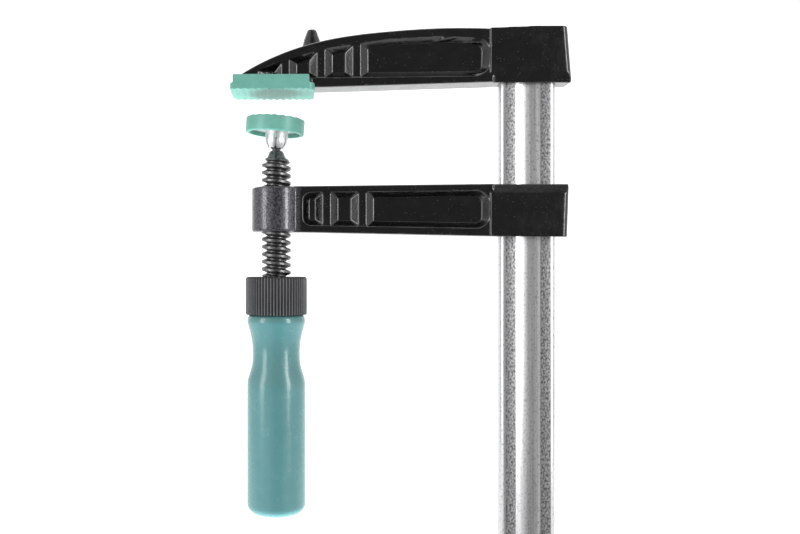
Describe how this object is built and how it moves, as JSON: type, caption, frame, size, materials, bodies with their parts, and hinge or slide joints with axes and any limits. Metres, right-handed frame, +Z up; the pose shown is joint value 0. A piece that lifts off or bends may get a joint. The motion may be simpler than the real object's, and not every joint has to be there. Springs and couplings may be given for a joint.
{
  "type": "f clamp",
  "caption": "Screw F clamp with a grooved flat rail, a fixed cast jaw, a sliding cast arm, a threaded spindle with swivelling pressure plate and a turned grip.",
  "frame": {"origin": "point of the fixed jaw's clamping face on the spindle's axis", "axes": "+Z up along the rail and the spindle, +X from the jaws towards the rail, Y across the clamp's thickness"},
  "size_m": [0.1816, 0.033, 0.3449],
  "materials": {
    "rail": "drawn steel bar",
    "rail_stop_pin": "plain steel",
    "fixed_jaw": "glossy black enamel on a casting",
    "fixed_jaw_cap": "satin moulded plastic",
    "sliding_arm": "glossy black enamel on a casting",
    "spindle": "dark rolled steel",
    "ball_retaining_ring": "spring steel",
    "pressure_plate": "zinc plated steel",
    "pressure_plate_cap": "satin moulded plastic",
    "handle_collar": "ribbed moulded plastic",
    "handle_grip": "glossy lacquer"
  },
  "bodies": {
    "frame": {"rail": "rail", "rail_stop_pin": "rail_stop_pin", "fixed_jaw": "fixed_jaw", "fixed_jaw_cap": "fixed_jaw_cap"},
    "sliding_arm": {"sliding_arm": "sliding_arm"},
    "ball_ring": {"ball_retaining_ring": "ball_retaining_ring"},
    "spindle": {"spindle": "spindle", "handle_collar": "handle_collar", "handle_grip": "handle_grip"},
    "pressure_plate": {"pressure_plate": "pressure_plate", "pressure_plate_cap": "pressure_plate_cap"}
  },
  "joints": [
    {"name": "arm_slide", "type": "slide", "parent": "frame", "child": "sliding_arm", "axis": [0, 0, 1], "range_m": [-0.22, 0]},
    {"name": "screw_travel", "type": "slide", "parent": "sliding_arm", "child": "ball_ring", "axis": [0, 0, 1], "range_m": [-0.0201, 0.0101]},
    {"name": "screw_turn", "type": "hinge", "parent": "ball_ring", "child": "spindle", "pos_m": [0, 0, -0.025], "axis": [0, 0, 1], "range_deg": [-900, 1800]},
    {"name": "plate_tilt", "type": "hinge", "parent": "ball_ring", "child": "pressure_plate", "pos_m": [0, 0, -0.025], "axis": [0, 1, 0], "range_deg": [-14, 6]}
  ],
  "couplings": [
    {"joint": "screw_travel", "follows": "screw_turn", "m_per_rad": -0.00063662}
  ]
}
